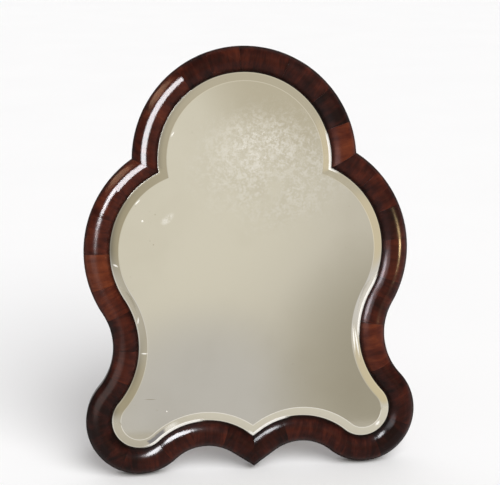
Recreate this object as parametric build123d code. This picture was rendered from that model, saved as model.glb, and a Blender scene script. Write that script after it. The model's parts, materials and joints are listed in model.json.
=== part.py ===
from build123d import *
import math
import os

# Shaped table mirror: a softwood ground faced with cross-grain mahogany moulding, a bevelled plate,
# a backboard, and a hinged strut on which the mirror leans back. Millimetres and degrees.
#
# The pieces are made lying on the bench: X across the mirror, Y up its face from the line that its
# two lobes stand on, Z forward from the back of the frame. The last step stands the mirror up:
# +Z up, front towards -Y, strut open, table at Z = 0.

# Outline of the frame, seen square to the plate
FRAME_HEIGHT = 500.0
FRAME_WIDTH = 30.0
CROWN_RADIUS = 133.0
CROWN_RISE = 106.0
SHOULDER_RADIUS = 133.0
SHOULDER_SPREAD = 59.5
WAIST_RADIUS = 73.0
LOBE_RADIUS = 63.0
LOBE_SPREAD = 134.0
ARCH_RADIUS = 55.0
ARCH_CREST = 28.7
CUSP_SLOPE = 34.0

# Sections of the ground and of the moulding, which overhangs it inside to make the plate's rebate
GROUND_DEPTH = 14.0
REBATE_WIDTH = 6.0
MOULDING_LAND = 1.5
MOULDING_RISE = 11.0

# Where the moulding and the ground are jointed, along the crown and down each side
CROWN_JOINT_SHARES = (0.30, 0.393, 0.49, 0.64, 0.78, 0.89)
RIGHT_JOINT_SHARES = (0.067, 0.142, 0.21, 0.30, 0.40, 0.497, 0.633, 0.707, 0.783, 0.92)
LEFT_JOINT_SHARES = (0.079, 0.143, 0.22, 0.293, 0.36, 0.435, 0.50, 0.583, 0.70, 0.793, 0.86, 0.93)
CROWN_GROUND_SHARES = (0.34, 0.66)
SIDE_GROUND_SHARES = (0.17, 0.34, 0.54, 0.66, 0.82)

# Bevelled plate and the blocks that wedge it in the rebate
PLATE_THICKNESS = 5.0
PLATE_EDGE = 2.5
PLATE_PLAY = 1.0
PLATE_SEAT = 0.1
BEVEL_WIDTH = 16.0
WEDGE_LENGTH = 22.0
WEDGE_FOOT = 9.0
WEDGE_TOP = 4.0
WEDGE_PLAY = 0.05
WEDGE_GAP = 0.3

# Backboard
BOARD_INSET = 8.0
BOARD_THICKNESS = 5.0
BOARD_CHAMFER = 1.5

# Strut, and the block that it hangs from
STRUT_THICKNESS = 14.0
STRUT_HEAD_WIDTH = 50.0
STRUT_FOOT_WIDTH = 28.0
STRUT_GAP = 0.5
STRUT_CHAMFER = 2.0
STOP_CLEARANCE = 0.05
BLOCK_HEIGHT = 48.0
BLOCK_CHAMFER = 6.0

# Butt hinge across the block and the strut
HINGE_HEIGHT = 335.0
HINGE_WIDTH = 40.0
KNUCKLE_COUNT = 5
KNUCKLE_RADIUS = 2.5
KNUCKLE_CLEARANCE = 0.4
KNUCKLE_GAP = 0.2
PIN_RADIUS = 1.25
PIN_CLEARANCE = 0.05
PIN_HEAD_RADIUS = 2.0
PIN_HEAD_LENGTH = 1.0
LEAF_LENGTH = 20.0
LEAF_THICKNESS = 1.2
LEAF_CLEARANCE = 0.1

# Countersunk slotted screws
SCREW_HEAD_RADIUS = 2.8
SCREW_SHANK_RADIUS = 1.4
BOARD_SCREW_LENGTH = 13.0
BOARD_SCREW_INSET = 15.0
BLOCK_SCREW_LENGTH = 14.0
BLOCK_SCREW_SPREAD = 16.0
BLOCK_SCREW_RISE = 33.0
LEAF_SCREW_HEAD_RADIUS = 2.2
LEAF_SCREW_SHANK_RADIUS = 1.1
LEAF_SCREW_LENGTH = 9.0
LEAF_SCREW_SPREAD = 13.0
LEAF_SCREW_RISE = 12.0
SLOT_WIDTH = 0.7
SLOT_DEPTH = 0.6
SCREW_PLAY = 0.03

# Stance
LEAN = 13.36
STRUT_OPENING = 22.0
STANDING_FLAT = 0.5

# How far every cutter and every mitred length runs past what it cuts
OVERRUN = 40.0


def polar(centre, radius, angle):
    """Point at a radius and an angle from a centre."""
    return centre + Vector(radius, 0).rotate(Axis.Z, angle)


def heading(start, end):
    """Angle of the way from one point to another."""
    return math.degrees(math.atan2(end.Y - start.Y, end.X - start.X))


def meet(centre, radius, other, other_radius):
    """Where two circles meet, on the left of the way from the first centre to the other."""
    way = other - centre
    along = (way.length**2 + radius**2 - other_radius**2) / (2 * way.length)
    across = math.sqrt(radius**2 - along**2)
    ahead = way.normalized()
    return centre + ahead * along + ahead.rotate(Axis.Z, 90) * across


# Centres of the outline's arcs. Below the notch each arc is tangent to the next.
CROWN = Vector(0, FRAME_HEIGHT - CROWN_RADIUS)
SHOULDER = Vector(SHOULDER_SPREAD, CROWN.Y - CROWN_RISE)
LOBE = Vector(LOBE_SPREAD, LOBE_RADIUS)
WAIST = meet(SHOULDER, SHOULDER_RADIUS + WAIST_RADIUS, LOBE, LOBE_RADIUS + WAIST_RADIUS)
ARCH_Y = ARCH_CREST - ARCH_RADIUS
ARCH_REACH = math.sqrt((LOBE_RADIUS + ARCH_RADIUS) ** 2 - (LOBE_RADIUS - ARCH_Y) ** 2)
ARCH = Vector(LOBE_SPREAD - ARCH_REACH, ARCH_Y)

# Places worked out from the sizes above
PLATE_INSET = FRAME_WIDTH - REBATE_WIDTH + PLATE_PLAY
BEVEL_INSET = PLATE_INSET + BEVEL_WIDTH
BEVEL_RISE_PER_WIDTH = (PLATE_THICKNESS - PLATE_EDGE) / BEVEL_WIDTH
PLATE_AT_LIP = PLATE_EDGE + BEVEL_RISE_PER_WIDTH * (FRAME_WIDTH - PLATE_INSET)
PLATE_BACK = GROUND_DEPTH - PLATE_SEAT - PLATE_AT_LIP
BLOCK_THICKNESS = STRUT_GAP + STRUT_THICKNESS
HINGE_DEPTH = -(BOARD_THICKNESS + BLOCK_THICKNESS)
HINGE_AXIS = Axis((0, HINGE_HEIGHT, HINGE_DEPTH), (1, 0, 0))


def notch(inset):
    """Corner between the crown and the right shoulder, at an inset from the outer edge."""
    return meet(CROWN, CROWN_RADIUS - inset, SHOULDER, SHOULDER_RADIUS - inset)


def notch_mitre(inset, further):
    """Plane of the right notch's mitre through its corners at two insets, facing the crown."""
    start = notch(inset)
    way = notch(further) - start
    return Plane(origin=start, x_dir=way, z_dir=way.rotate(Axis.Z, -90))


class Bend:
    """An arc of the outer edge, with the frame inside it (side -1) or outside it (side 1)."""

    def __init__(self, centre, radius, start, end, side):
        self.centre = centre
        self.radius = radius
        self.start = start
        self.side = side
        self.turn = math.copysign(1, end - start)
        self.middle_radius = radius + side * FRAME_WIDTH / 2
        self.length = self.middle_radius * math.radians(abs(end - start))

    def angle(self, station):
        """Angle at a distance along the middle of the frame."""
        return self.start + self.turn * math.degrees(station / self.middle_radius)

    def point(self, station, inset):
        return polar(self.centre, self.radius + self.side * inset, self.angle(station))

    def sweep(self, section, begin, finish):
        """Solid of a section, drawn as inset and height, between two stations."""
        low = min(self.angle(begin), self.angle(finish))
        inward = Vector(self.side, 0).rotate(Axis.Z, low)
        place = Plane(polar(self.centre, self.radius, low), inward, inward.rotate(Axis.Z, -90))
        turned = math.degrees((finish - begin) / self.middle_radius)
        return revolve(place * section, Axis(self.centre, (0, 0, 1)), turned)


class Straight:
    """A straight stretch of the outer edge, with the frame on the right of its way."""

    def __init__(self, start, way, length):
        self.start = start
        self.ahead = way.normalized()
        self.inward = self.ahead.rotate(Axis.Z, -90)
        self.length = length

    def point(self, station, inset):
        return self.start + self.ahead * station + self.inward * inset

    def sweep(self, section, begin, finish):
        """Solid of a section, drawn as inset and height, between two stations."""
        place = Plane(self.point(begin, 0), self.inward, -self.ahead)
        return extrude(place * section, amount=finish - begin, dir=self.ahead)


class Run:
    """Stretches that follow each other, measured along the middle of the frame."""

    def __init__(self, stretches):
        self.stretches = stretches
        self.length = sum(stretch.length for stretch in stretches)

    def point(self, station, inset):
        for stretch in self.stretches[:-1]:
            if station < stretch.length:
                return stretch.point(station, inset)
            station -= stretch.length
        return self.stretches[-1].point(station, inset)

    def sweep(self, section, begin, finish):
        """Solid of a section between two stations, which may lie past the run's ends."""
        lengths = []
        for stretch in self.stretches:
            low = begin if stretch is self.stretches[0] else max(begin, 0)
            high = finish if stretch is self.stretches[-1] else min(finish, stretch.length)
            if high > low:
                lengths.append(stretch.sweep(section, low, high))
            begin -= stretch.length
            finish -= stretch.length
        return Part() + lengths

    def spans(self, shares):
        """Pairs of stations between joints at shares of the run, running past both ends."""
        joints = [share * self.length for share in shares]
        marks = [-OVERRUN, *joints, self.length + OVERRUN]
        return list(zip(marks, marks[1:]))

    def middles(self, shares):
        """Stations halfway between joints at shares of the run."""
        marks = [0, *shares, 1]
        return [(low + high) / 2 * self.length for low, high in zip(marks, marks[1:])]


def crown_run():
    """From the left notch over the crown to the right notch."""
    end = heading(CROWN, notch(FRAME_WIDTH / 2))
    return Run([Bend(CROWN, CROWN_RADIUS, 180 - end, end, -1)])


def side_run():
    """From the right notch down shoulder, waist and lobe, and along the arch to the cusp."""
    shoulder_end = heading(SHOULDER, WAIST)
    lobe_start = heading(LOBE, WAIST)
    lobe_end = heading(LOBE, ARCH)
    arch_end = 90 + CUSP_SLOPE
    top = heading(SHOULDER, notch(FRAME_WIDTH / 2))
    way = Vector(0, 1).rotate(Axis.Z, arch_end)
    middle_reach = polar(ARCH, ARCH_RADIUS + FRAME_WIDTH / 2, arch_end).X
    return Run(
        [
            Bend(SHOULDER, SHOULDER_RADIUS, top, shoulder_end, -1),
            Bend(WAIST, WAIST_RADIUS, shoulder_end + 180, lobe_start + 180, 1),
            Bend(LOBE, LOBE_RADIUS, lobe_start, lobe_end, -1),
            Bend(ARCH, ARCH_RADIUS, lobe_end + 180, arch_end, 1),
            Straight(polar(ARCH, ARCH_RADIUS, arch_end), way, middle_reach / -way.X),
        ]
    )


CROWN_RUN = crown_run()
SIDE_RUN = side_run()


def flip(shape):
    """The left-hand copy of a right-hand shape."""
    return mirror(shape, about=Plane.YZ)


def crown_lengths(section, shares, inset, further):
    """Lengths of a section over the crown, with the two outer ones mitred at the notches."""
    mitre = notch_mitre(inset, further)
    lengths = [CROWN_RUN.sweep(section, *span) for span in CROWN_RUN.spans(shares)]
    lengths[-1] = split(lengths[-1], mitre, Keep.TOP)
    lengths[0] = flip(split(flip(lengths[0]), mitre, Keep.TOP))
    return lengths


def side_lengths(section, shares, inset, further):
    """Lengths of a section down the right side, mitred at the notch and at the cusp."""
    mitre = notch_mitre(inset, further)
    lengths = [SIDE_RUN.sweep(section, *span) for span in SIDE_RUN.spans(shares)]
    lengths[0] = split(lengths[0], mitre, Keep.BOTTOM)
    lengths[-1] = split(lengths[-1], Plane.YZ, Keep.TOP)
    return lengths


def polygon(*points):
    """Closed face through points."""
    return make_face(Polyline(*points, close=True))


def outline(inset):
    """Face inside the frame's outer edge at an inset."""
    corner = notch(inset)
    swing = min(CUSP_SLOPE, math.degrees(math.asin(ARCH.X / (ARCH_RADIUS + inset))))
    bends = (
        (SHOULDER, SHOULDER_RADIUS - inset, heading(SHOULDER, corner), heading(SHOULDER, WAIST)),
        (WAIST, WAIST_RADIUS + inset, heading(SHOULDER, WAIST) + 180, heading(LOBE, WAIST) + 180),
        (LOBE, LOBE_RADIUS - inset, heading(LOBE, WAIST), heading(LOBE, ARCH)),
        (ARCH, ARCH_RADIUS + inset, heading(LOBE, ARCH) + 180, 90 + swing),
    )
    right = []
    start = corner
    for centre, radius, begin, finish in bends:
        end = polar(centre, radius, finish)
        right.append(ThreePointArc(start, polar(centre, radius, (begin + finish) / 2), end))
        start = end
    if swing == CUSP_SLOPE:
        right.append(Line(start, (0, start.Y - start.X * math.tan(math.radians(CUSP_SLOPE)))))
    apex = Vector(0, FRAME_HEIGHT - inset)
    crown = ThreePointArc((-corner.X, corner.Y), apex, corner)
    return make_face([crown, *right, *(flip(edge) for edge in right)])


def rim_cutters(section, inset, further):
    """Sections swept round the whole frame, to be cut from a plate's rim."""
    side = side_lengths(section, (), inset, further)
    return [*crown_lengths(section, (), inset, further), *side, *(flip(cutter) for cutter in side)]


def numbered(name, solids):
    """Pieces under a name and a number."""
    return {f"{name}_{number}": solid for number, solid in enumerate(solids, 1)}


def screw(head_radius, shank_radius, length):
    """Countersunk slotted screw, its head's face at the origin and its point below."""
    head_height = head_radius - shank_radius
    half = polygon(
        (0, 0),
        (head_radius, 0),
        (shank_radius, -head_height),
        (shank_radius, -length + head_radius),
        (0, -length),
    )
    slot = Box(2 * head_radius, SLOT_WIDTH, 2 * SLOT_DEPTH)
    return revolve(Plane.XZ * half, Axis.Z) - slot


def screw_hole(head_radius, shank_radius, length):
    """Cutter for a screw's hole and countersink, with the play that the screw has in it."""
    head = head_radius + SCREW_PLAY
    shank = shank_radius + SCREW_PLAY
    half = polygon(
        (0, OVERRUN),
        (head, OVERRUN),
        (head, 0),
        (shank, shank - head),
        (shank, -length - SCREW_PLAY),
        (0, -length - SCREW_PLAY),
    )
    return revolve(Plane.XZ * half, Axis.Z)


def placed(shape, places):
    """A copy of a shape at each place."""
    return [place * shape for place in places]


def moulding():
    """Cross-grain blocks that face the ground with a rounded section."""
    crest = GROUND_DEPTH + MOULDING_RISE
    land = GROUND_DEPTH + MOULDING_LAND
    section = make_face(
        [
            Polyline((0, land), (0, GROUND_DEPTH), (FRAME_WIDTH, GROUND_DEPTH), (FRAME_WIDTH, land)),
            ThreePointArc((0, land), (FRAME_WIDTH / 2, crest), (FRAME_WIDTH, land)),
        ]
    )
    left = [flip(block) for block in side_lengths(section, LEFT_JOINT_SHARES, 0, FRAME_WIDTH)]
    return {
        **numbered("crown_block", crown_lengths(section, CROWN_JOINT_SHARES, 0, FRAME_WIDTH)),
        **numbered("right_block", side_lengths(section, RIGHT_JOINT_SHARES, 0, FRAME_WIDTH)),
        **numbered("left_block", left),
    }


def board_screw_places():
    """Where the backboard is screwed: behind the middle of every length of the ground."""
    side = [SIDE_RUN.point(station, BOARD_SCREW_INSET) for station in SIDE_RUN.middles(SIDE_GROUND_SHARES)]
    crown = [CROWN_RUN.point(station, BOARD_SCREW_INSET) for station in CROWN_RUN.middles(CROWN_GROUND_SHARES)]
    left = [Vector(-point.X, point.Y) for point in side]
    back = Vector(0, 0, -BOARD_THICKNESS)
    return [Plane(point + back, z_dir=(0, 0, -1)) for point in [*crown, *side, *left]]


def board_screw_holes():
    hole = screw_hole(SCREW_HEAD_RADIUS, SCREW_SHANK_RADIUS, BOARD_SCREW_LENGTH)
    return placed(hole, board_screw_places())


def ground():
    """Softwood lengths that carry the moulding, narrower than it by the rebate."""
    wall = FRAME_WIDTH - REBATE_WIDTH
    section = polygon((0, 0), (wall, 0), (wall, GROUND_DEPTH), (0, GROUND_DEPTH))
    crown = crown_lengths(section, CROWN_GROUND_SHARES, 0, FRAME_WIDTH)
    right = side_lengths(section, SIDE_GROUND_SHARES, 0, FRAME_WIDTH)
    left = [flip(length) for length in right]
    lengths = {
        **numbered("crown_ground", crown),
        **numbered("right_ground", right),
        **numbered("left_ground", left),
    }
    holes = board_screw_holes()
    return {name: length - holes for name, length in lengths.items()}


def mirror_plate():
    """Plate with a wide flat bevel, mitred at the notches and at the cusp."""
    section = polygon(
        (PLATE_INSET - OVERRUN, PLATE_EDGE - BEVEL_RISE_PER_WIDTH * OVERRUN),
        (BEVEL_INSET, PLATE_THICKNESS),
        (BEVEL_INSET, PLATE_THICKNESS + OVERRUN),
        (PLATE_INSET - OVERRUN, PLATE_THICKNESS + OVERRUN),
    )
    blank = extrude(outline(PLATE_INSET), PLATE_THICKNESS)
    return Pos(0, 0, PLATE_BACK) * (blank - rim_cutters(section, PLATE_INSET, BEVEL_INSET))


def plate_wedges():
    """Blocks in the rebate that hold the plate forward, one in every length of the ground."""
    wall = FRAME_WIDTH - REBATE_WIDTH + WEDGE_PLAY
    section = polygon(
        (wall, PLATE_BACK),
        (wall + WEDGE_FOOT, PLATE_BACK),
        (wall + WEDGE_TOP, WEDGE_GAP),
        (wall, WEDGE_GAP),
    )
    half = WEDGE_LENGTH / 2
    crown = [CROWN_RUN.sweep(section, at - half, at + half) for at in CROWN_RUN.middles(CROWN_GROUND_SHARES)]
    right = [SIDE_RUN.sweep(section, at - half, at + half) for at in SIDE_RUN.middles(SIDE_GROUND_SHARES)]
    return Compound([*crown, *right, *(flip(wedge) for wedge in right)])


def block_screw_places():
    """Heads on the front of the backboard, points in the strut's block."""
    rise = HINGE_HEIGHT + BLOCK_SCREW_RISE
    return [Pos(side * BLOCK_SCREW_SPREAD, rise, 0) for side in (-1, 1)]


def block_screw_holes():
    hole = screw_hole(SCREW_HEAD_RADIUS, SCREW_SHANK_RADIUS, BLOCK_SCREW_LENGTH)
    return placed(hole, block_screw_places())


def backboard():
    """Board over the back, its rear edge chamfered all round."""
    chamfer_inset = BOARD_INSET + BOARD_CHAMFER
    section = polygon(
        (BOARD_INSET - OVERRUN, -BOARD_THICKNESS + BOARD_CHAMFER + OVERRUN),
        (BOARD_INSET - OVERRUN, -BOARD_THICKNESS - OVERRUN),
        (chamfer_inset, -BOARD_THICKNESS - OVERRUN),
        (chamfer_inset, -BOARD_THICKNESS),
    )
    blank = extrude(outline(BOARD_INSET), -BOARD_THICKNESS)
    rim = rim_cutters(section, BOARD_INSET, chamfer_inset)
    return blank - rim - board_screw_holes() - block_screw_holes()


def leaf_screw_places(side):
    """Heads on the rear of a hinge leaf, above (1) or below (-1) the pin."""
    rise = HINGE_HEIGHT + side * LEAF_SCREW_RISE
    across = (-LEAF_SCREW_SPREAD, LEAF_SCREW_SPREAD)
    return [Plane((x, rise, HINGE_DEPTH), z_dir=(0, 0, -1)) for x in across]


def leaf_screw_holes(side):
    hole = screw_hole(LEAF_SCREW_HEAD_RADIUS, LEAF_SCREW_SHANK_RADIUS, LEAF_SCREW_LENGTH)
    return placed(hole, leaf_screw_places(side))


def at_hinge(shape):
    """A shape drawn about the pin, moved to the hinge."""
    return Pos(0, HINGE_HEIGHT, HINGE_DEPTH) * shape


def along_pin(radius, length):
    """Cylinder along the pin's axis, centred on it."""
    return Rot(0, 90, 0) * Cylinder(radius, length)


def hinge_bed(side):
    """Cutter for a leaf's bed and the groove that its knuckles turn in."""
    width = HINGE_WIDTH + 2 * LEAF_CLEARANCE
    length = LEAF_LENGTH + LEAF_CLEARANCE
    bed = Pos(0, side * length / 2, LEAF_THICKNESS / 2) * Box(width, length, LEAF_THICKNESS)
    groove_length = HINGE_WIDTH + 2 * (PIN_HEAD_LENGTH + KNUCKLE_CLEARANCE)
    groove = along_pin(KNUCKLE_RADIUS + KNUCKLE_CLEARANCE, groove_length)
    return [at_hinge(bed), at_hinge(groove), *leaf_screw_holes(side)]


def hinge_leaf(side):
    """Leaf above (1) or below (-1) the pin, with every other knuckle."""
    pitch = HINGE_WIDTH / KNUCKLE_COUNT
    first = 0 if side > 0 else 1
    starts = [-HINGE_WIDTH / 2 + pitch * place for place in range(KNUCKLE_COUNT)]
    own = [start + pitch / 2 for start in starts[first::2]]
    others = [start + pitch / 2 for start in starts[1 - first :: 2]]
    plate = Pos(0, side * LEAF_LENGTH / 2, LEAF_THICKNESS / 2) * Box(HINGE_WIDTH, LEAF_LENGTH, LEAF_THICKNESS)
    knuckle = along_pin(KNUCKLE_RADIUS, pitch - KNUCKLE_GAP)
    gap = along_pin(KNUCKLE_RADIUS + KNUCKLE_CLEARANCE, pitch + KNUCKLE_GAP)
    bore = along_pin(PIN_RADIUS + PIN_CLEARANCE, HINGE_WIDTH + OVERRUN)
    knuckles = [Pos(x, 0, 0) * knuckle for x in own]
    gaps = [Pos(x, 0, 0) * gap for x in others]
    leaf = plate - gaps + knuckles - bore
    return at_hinge(leaf) - leaf_screw_holes(side)


def hinge_pin():
    """Pin with a flat head at each end."""
    head = along_pin(PIN_HEAD_RADIUS, PIN_HEAD_LENGTH)
    reach = (HINGE_WIDTH + PIN_HEAD_LENGTH) / 2
    heads = [Pos(end * reach, 0, 0) * head for end in (-1, 1)]
    return at_hinge(along_pin(PIN_RADIUS, HINGE_WIDTH) + heads)


def strut_block():
    """Block on the backboard, as thick as the strut, chamfered over its top."""
    half = STRUT_HEAD_WIDTH / 2
    bottom = HINGE_HEIGHT + STOP_CLEARANCE
    top = HINGE_HEIGHT + BLOCK_HEIGHT
    face = polygon((-half, bottom), (half, bottom), (half, top), (-half, top))
    block = Pos(0, 0, -BOARD_THICKNESS) * extrude(face, -BLOCK_THICKNESS)
    rear = block.faces().sort_by(Axis.Z)[0]
    block = chamfer(rear.edges().sort_by(Axis.Y)[-1], BLOCK_CHAMFER)
    rear = block.faces().sort_by(Axis.Z)[0]
    sides = rear.edges().sort_by(Axis.X)
    block = chamfer([sides[0], sides[-1]], STRUT_CHAMFER)
    return block - hinge_bed(1) - block_screw_holes()


def strut_length():
    """From the pin to the table, along the rear of the open strut."""
    lean = math.radians(LEAN)
    height = HINGE_HEIGHT * math.cos(lean) + HINGE_DEPTH * math.sin(lean) - STANDING_FLAT
    return height / math.cos(math.radians(STRUT_OPENING - LEAN))


def strut():
    """Tapered strut, folded; its bevelled head stops against the block when it opens."""
    head = STRUT_HEAD_WIDTH / 2
    foot = STRUT_FOOT_WIDTH / 2
    length = strut_length()
    spare = STRUT_THICKNESS
    flare = (head - foot) * spare / length
    face = polygon(
        (-head, HINGE_HEIGHT),
        (head, HINGE_HEIGHT),
        (foot - flare, HINGE_HEIGHT - length - spare),
        (flare - foot, HINGE_HEIGHT - length - spare),
    )
    blank = Pos(0, 0, HINGE_DEPTH) * extrude(face, STRUT_THICKNESS)
    rear = blank.faces().sort_by(Axis.Z)[0]
    sides = rear.edges().sort_by(Axis.X)
    blank = chamfer([sides[0], sides[-1]], STRUT_CHAMFER)
    stop = Plane((0, HINGE_HEIGHT - STOP_CLEARANCE, HINGE_DEPTH), (1, 0, 0), (0, 1, 0))
    bevel = stop.rotated((-STRUT_OPENING, 0, 0))
    return split(blank, bevel, Keep.BOTTOM) - hinge_bed(-1)


def frame_pieces():
    """Everything that stays with the frame."""
    board_screw = screw(SCREW_HEAD_RADIUS, SCREW_SHANK_RADIUS, BOARD_SCREW_LENGTH)
    block_screw = screw(SCREW_HEAD_RADIUS, SCREW_SHANK_RADIUS, BLOCK_SCREW_LENGTH)
    leaf_screw = screw(LEAF_SCREW_HEAD_RADIUS, LEAF_SCREW_SHANK_RADIUS, LEAF_SCREW_LENGTH)
    return {
        **moulding(),
        **ground(),
        "mirror_plate": mirror_plate(),
        "plate_wedges": plate_wedges(),
        "backboard": backboard(),
        "backboard_screws": Compound(placed(board_screw, board_screw_places())),
        "strut_block": strut_block(),
        "strut_block_screws": Compound(placed(block_screw, block_screw_places())),
        "hinge_leaf_upper": hinge_leaf(1),
        "hinge_screws_upper": Compound(placed(leaf_screw, leaf_screw_places(1))),
        "hinge_pin": hinge_pin(),
    }


def strut_pieces():
    """Everything that swings with the strut, folded against the backboard."""
    leaf_screw = screw(LEAF_SCREW_HEAD_RADIUS, LEAF_SCREW_SHANK_RADIUS, LEAF_SCREW_LENGTH)
    return {
        "strut": strut(),
        "hinge_leaf_lower": hinge_leaf(-1),
        "hinge_screws_lower": Compound(placed(leaf_screw, leaf_screw_places(-1))),
    }


def stood_up():
    """All pieces at rest: strut open, mirror leaning back, what meets the table cut level."""
    swung = {name: piece.rotate(HINGE_AXIS, STRUT_OPENING) for name, piece in strut_pieces().items()}
    stance = Pos(0, 0, -STANDING_FLAT) * Rot(90 - LEAN, 0, 0)
    pieces = {name: stance * piece for name, piece in {**frame_pieces(), **swung}.items()}
    for name in pieces:
        if "ground" in name or name == "strut":
            pieces[name] = split(pieces[name], Plane.XY, Keep.TOP)
    front = min(piece.bounding_box().min.Y for piece in pieces.values())
    back = max(piece.bounding_box().max.Y for piece in pieces.values())
    centred = Pos(0, -(front + back) / 2, 0)
    hinge = centred * stance * Pos(0, HINGE_HEIGHT, HINGE_DEPTH)
    print("strut hinge at", hinge.position)
    return {name: centred * piece for name, piece in pieces.items()}


def main():
    os.makedirs("parts", exist_ok=True)
    for name, piece in stood_up().items():
        export_step(piece, f"parts/{name}.step")


main()
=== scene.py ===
"""Shaped table mirror: its finishes, moulding, stage and camera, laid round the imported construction."""

import json
import math
from typing import NamedTuple

import bpy
from bpy.props import FloatProperty, FloatVectorProperty, PointerProperty
from mathutils import Matrix, Vector, noise


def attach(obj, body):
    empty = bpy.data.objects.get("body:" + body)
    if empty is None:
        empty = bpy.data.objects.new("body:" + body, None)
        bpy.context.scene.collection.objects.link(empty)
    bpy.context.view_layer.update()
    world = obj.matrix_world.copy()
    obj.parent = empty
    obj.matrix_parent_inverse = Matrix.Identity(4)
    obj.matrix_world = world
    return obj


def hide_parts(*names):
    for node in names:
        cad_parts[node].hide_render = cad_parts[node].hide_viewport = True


bl_info = {
    "name": "Shaped Table Mirror",
    "version": (1, 0, 0),
    "blender": (4, 5, 0),
    "location": "View3D > Sidebar > Table Mirror",
    "description": "Dresses a shaped table mirror in polished mahogany, aged silvering and brass",
    "category": "Object",
}

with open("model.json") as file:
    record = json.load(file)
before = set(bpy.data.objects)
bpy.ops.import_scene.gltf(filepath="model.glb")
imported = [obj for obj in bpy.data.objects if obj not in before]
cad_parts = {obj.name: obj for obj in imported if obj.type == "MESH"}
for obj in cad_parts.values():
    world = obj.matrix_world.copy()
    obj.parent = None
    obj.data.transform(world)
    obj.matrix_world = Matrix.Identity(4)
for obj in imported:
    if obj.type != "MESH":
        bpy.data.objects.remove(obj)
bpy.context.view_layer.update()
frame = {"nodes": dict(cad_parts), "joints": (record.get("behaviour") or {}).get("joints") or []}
NODES = frame["nodes"]
HINGE = Vector(frame["joints"][0]["pos_m"])
MM = 0.001

# Where the moulding is jointed, as shares of the crown and of each side
JOINT_SHARES = {
    "crown": (0.30, 0.393, 0.49, 0.64, 0.78, 0.89),
    "right": (0.067, 0.142, 0.21, 0.30, 0.40, 0.497, 0.633, 0.707, 0.783, 0.92),
    "left": (0.079, 0.143, 0.22, 0.293, 0.36, 0.435, 0.50, 0.583, 0.70, 0.793, 0.86, 0.93),
}

# How light each block's timber is, from the darkest stock (0) to the gingery one (1)
TONE_SHARES = {
    "crown": (0.46, 0.30, 0.44, 0.28, 0.28, 0.08, 0.74),
    "right": (0.34, 0.40, 0.30, 0.40, 0.34, 0.62, 0.28, 0.04, 0.20, 0.26, 0.08),
    "left": (0.50, 0.56, 0.50, 0.86, 0.62, 0.30, 0.42, 0.18, 0.06, 0.18, 0.34, 0.36, 0.20),
}

# How far each block's polish is rubbed dull, from full gloss (0) to satin (1)
RUB_SHARES = {
    "crown": (0.0, 0.3, 0.5, 0.6, 0.7, 0.7, 0.7),
    "right": (0.6, 0.6, 0.5, 0.15, 0.2, 0.6, 0.3, 0.1, 0.3, 0.3, 0.1),
    "left": (0.0, 0.0, 0.2, 0.5, 0.5, 0.4, 0.4, 0.4, 0.4, 0.2, 0.0, 0.2, 0.3),
}


def length(name, description, default):
    """A size in metres that a user may change."""
    return FloatProperty(name=name, description=description, default=default, unit="LENGTH", precision=4)


def angle(name, description, degrees):
    """An angle that a user may change."""
    return FloatProperty(name=name, description=description, default=math.radians(degrees), subtype="ANGLE")


def colour(name, description, default):
    """A colour that a user may change."""
    return FloatVectorProperty(
        name=name, description=description, default=default, subtype="COLOR", size=3, min=0.0, max=1.0
    )


def level(name, description, default):
    """A plain number that a user may change."""
    return FloatProperty(name=name, description=description, default=default, min=0.0)


class FrameSizes(bpy.types.PropertyGroup):
    """Sizes of the frame's outline and of the moulding on it."""

    height: length("Height", "Frame height, square to the plate", 500 * MM)
    width: length("Frame width", "Across the moulding", 30 * MM)
    crown_radius: length("Crown radius", "Outer edge of the crown", 133 * MM)
    crown_rise: length("Crown rise", "Crown's centre over the shoulders' centres", 106 * MM)
    shoulder_radius: length("Shoulder radius", "Outer edge of the shoulder", 133 * MM)
    shoulder_spread: length("Shoulder spread", "Shoulder's centre from the middle", 59.5 * MM)
    waist_radius: length("Waist radius", "Outer edge of the waist", 73 * MM)
    lobe_radius: length("Lobe radius", "Outer edge of the lobe", 63 * MM)
    lobe_spread: length("Lobe spread", "Lobe's centre from the middle", 134 * MM)
    arch_radius: length("Arch radius", "Outer edge of the arch", 55 * MM)
    arch_crest: length("Arch crest", "Height of the arch over the lobes' line", 28.7 * MM)
    cusp_slope: angle("Cusp slope", "Slope of the straight ends at the cusp", 34)
    ground_depth: length("Ground depth", "Thickness of the softwood under the moulding", 14 * MM)
    land: length("Land", "Upright edge of the moulding", 1.5 * MM)
    rise: length("Rise", "Moulding's crest over the ground", 11 * MM)
    joint_line: length("Joint line", "Width of the fine sunk line beside each joint", 0.3 * MM)
    joint_sink: length("Joint sink", "Depth of that line", 0.02 * MM)
    shrinkage: length("Shrinkage", "How far each block has shrunk from its joints", 0.02 * MM)
    unevenness: length("Unevenness", "Depth of the hollows left by scraping and polishing", 0.26 * MM)
    rebate: length("Rebate", "How far the moulding hangs over the plate", 6 * MM)
    plate_play: length("Plate play", "Room between the plate and the ground", 1 * MM)
    plate_seat: length("Plate seat", "Gap between the bevel and the moulding", 0.1 * MM)
    plate_thickness: length("Plate thickness", "Thickness of the glass", 5 * MM)
    plate_edge: length("Plate edge", "Thickness left at the plate's edge", 2.5 * MM)
    bevel_width: length("Bevel width", "Across the bevel, out to the plate's edge", 16 * MM)
    bevel_swell: length("Bevel swell", "How far the hand-ground bevel bulges", 0.15 * MM)
    lean: angle("Lean", "How far the mirror leans back", 13.36)
    hinge_height: length("Hinge height", "Strut's hinge over the lobes' line, up the frame", 335 * MM)
    hinge_depth: length("Hinge depth", "Strut's hinge behind the frame's back", 19.5 * MM)
    standing_flat: length("Standing flat", "How deep the lobes are cut level", 0.5 * MM)


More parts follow.
